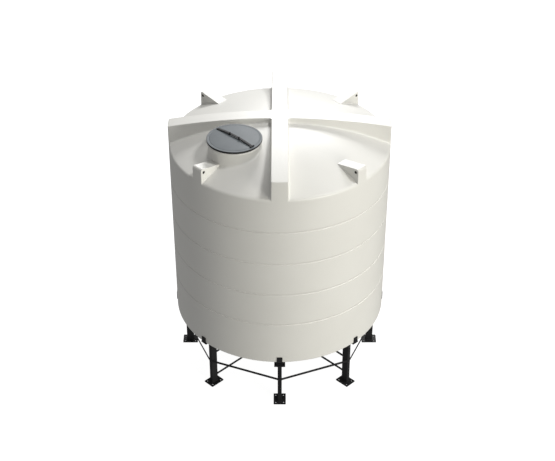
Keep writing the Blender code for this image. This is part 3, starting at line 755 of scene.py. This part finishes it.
def rim_seat(bm):
    """The shoe under the rim, and its tab that stands up outside the wall."""
    bar_along(bm, [(Vector((1.100, 0.0, shoe_z + 0.0058)), north, upward),
                   (Vector((1.3102, 0.0, shoe_z + 0.0058)), north, upward)], 0.045, 0.0058, 0.002)
    outline = []
    for quarter in range(2):
        y = 0.0245 * (1 - 2 * quarter)
        for i in range(6):
            a = math.pi / 2 * (quarter + i / 5)
            outline.append((y + 0.008 * math.cos(a), rim_z + 0.072 + 0.008 * math.sin(a)))
    outline += [(-0.0325, shoe_z + 0.001), (0.0325, shoe_z + 0.001)]
    rows = []
    for x, inset in ((1.3004, 0.0012), (1.3016, 0.0), (1.3090, 0.0), (1.3102, 0.0012)):
        rows.append([(x, y * (1.0 - inset / 0.0325), z - inset) for y, z in outline])
    rings = wrap(bm, rows)
    bm.faces.new(rings[0])
    bm.faces.new(list(reversed(rings[-1])))


for side, degrees in (("front", 270), ("front_right", 315), ("right", 0), ("back_right", 45),
                      ("back", 90), ("back_left", 135), ("left", 180), ("front_left", 225)):
    leg_bm = bmesh.new()
    add_mesh(leg_bm, foot_plate, 0.0)
    weld(leg_bm, post_x, post_y, leg_at, plate, 1)
    swing = Matrix.Rotation(math.radians(degrees), 4, "Z")
    if degrees % 90:
        post(leg_bm, leg_at, post_x, post_y, 0.004, shoe_z + 0.006)
        weld(leg_bm, post_x, post_y, leg_at, shoe_z, -1)
        rim_seat(leg_bm)
    else:
        post(leg_bm, leg_at, post_x, post_y, 0.004, head_z - 0.004)
        weld(leg_bm, post_x, post_y, leg_at, head_z - plate, -1)
        add_mesh(leg_bm, head_plate, head_z - plate)
        cradle_bm = bmesh.new()
        add_mesh(cradle_bm, head_plate, head_z)
        post(cradle_bm, stub_at, stub_x, stub_y, head_z + 0.004, shoe_z + 0.006)
        weld(cradle_bm, stub_x, stub_y, stub_at, head_z + plate, 1)
        weld(cradle_bm, stub_x, stub_y, stub_at, shoe_z, -1)
        rim_seat(cradle_bm)
        bmesh.ops.transform(cradle_bm, matrix=swing, verts=cradle_bm.verts)
        add_piece("steel_cradle_" + side, cradle_bm, powder_coat, "frame", "tank",
                  "cradle_" + side)
    bmesh.ops.transform(leg_bm, matrix=swing, verts=leg_bm.verts)
    add_piece("steel_leg_" + side, leg_bm, powder_coat, "frame", "tank", "leg_" + side)

# Ties and braces. Flat bars on edge run from post to post at mid height, and two more in
# each of two crossing planes join opposite posts below the tank, all welded to the posts.
around = ["right", "back_right", "back", "back_left", "left", "front_left", "front",
          "front_right"]
tie_line = 1.217
tie_z = 0.364
post_gap = 0.0262
flat_bar = (0.015, 0.003, 0.0009)
brace_reach = 1.1205
for i, side in enumerate(around):
    following = around[(i + 1) % 8]
    a, b = math.radians(45 * i), math.radians(45 * (i + 1))
    start = Vector((tie_line * math.cos(a), tie_line * math.sin(a), tie_z))
    end = Vector((tie_line * math.cos(b), tie_line * math.sin(b), tie_z))
    run = (end - start).normalized()
    tie_bm = bmesh.new()
    bar_along(tie_bm, [(start + run * post_gap, upward, run.cross(upward)),
                       (end - run * post_gap, upward, run.cross(upward))], *flat_bar)
    add_piece("flat_tie_" + side, tie_bm, powder_coat, "frame", "tank",
              "tie_" + side + "_to_" + following)
for name, degrees, low_z, high_z in (("outer", 225, 0.091, 0.449), ("inner", 315, 0.150, 0.383)):
    run = Vector((math.cos(math.radians(degrees)), math.sin(math.radians(degrees)), 0.0))
    for level, z in (("lower", low_z), ("upper", high_z)):
        brace_bm = bmesh.new()
        reach = run * brace_reach
        bar_along(brace_bm, [(upward * z - reach, upward, run.cross(upward)),
                             (upward * z + reach, upward, run.cross(upward))], *flat_bar)
        add_piece("flat_brace_" + name + "_" + level, brace_bm, powder_coat, "frame", "tank",
                  "brace_" + name + "_" + level)

# Studio. A pale backlit sweep for a floor, a soft key high on the right, a wide and
# slightly warm lamp low at the front right, one behind the tank for the crown, and an
# even fill; the camera stands where the photo was taken from.
sweep_mesh = bpy.data.meshes.new("sweep")
sweep_mesh.from_pydata(
    [(-60.0, -60.0, 0.0), (60.0, -60.0, 0.0), (60.0, 60.0, 0.0), (-60.0, 60.0, 0.0)], [],
    [(0, 1, 2, 3)])
sweep = bpy.data.objects.new("sweep", sweep_mesh)
bpy.context.scene.collection.objects.link(sweep)
sweep_paint = moulded(
    "white sweep", (0.26, 0.26, 0.26), (0.25, 0.25, 0.25), 0.4, (0.8, 0.9), 30.0, 0.0001)
backlight = sweep_paint.node_tree.nodes["Principled BSDF"]
backlight.inputs["Emission Color"].default_value = (1.0, 1.0, 1.0, 1.0)
backlight.inputs["Emission Strength"].default_value = 0.93
backlight.inputs["Specular IOR Level"].default_value = 0.0
sweep_mesh.materials.append(sweep_paint)
sweep.visible_diffuse = False
sweep.visible_glossy = False


def soft_lamp(name, place, size, power):
    """A round soft lamp that faces the tank and is itself out of the picture."""
    lamp = bpy.data.lights.new(name, "AREA")
    lamp.shape = "DISK"
    lamp.size = size
    lamp.energy = power
    holder = bpy.data.objects.new(name, lamp)
    bpy.context.scene.collection.objects.link(holder)
    holder.location = place
    holder.rotation_euler = (Vector((0.0, 0.0, 1.8)) - holder.location).to_track_quat(
        "-Z", "Y").to_euler()
    holder.visible_camera = False
    return holder


key_lamp = soft_lamp("key", (11.6, -3.1, 22.6), 5.0, 2450.0)
front_lamp = soft_lamp("front", (10.6, -12.0, 3.2), 8.0, 1660.0)
front_lamp.data.color = (1.0, 0.98, 0.90)
back_lamp = soft_lamp("back", (1.6, 12.9, 11.5), 6.0, 1900.0)

world = bpy.data.worlds.new("fill")
world.use_nodes = True
world.node_tree.nodes["Background"].inputs["Color"].default_value = (1.0, 1.0, 1.0, 1.0)
world.node_tree.nodes["Background"].inputs["Strength"].default_value = 0.31
bpy.context.scene.world = world

lens = bpy.data.cameras.new("camera")
lens.lens = 79.74
lens.shift_x = -0.00396
camera = bpy.data.objects.new("camera", lens)
bpy.context.scene.collection.objects.link(camera)
camera.location = (0.0, -12.4796, 10.3253)
camera.rotation_euler = (math.radians(55.43), 0.0, 0.0)
bpy.context.scene.camera = camera
bpy.context.scene.view_settings.view_transform = "Standard"
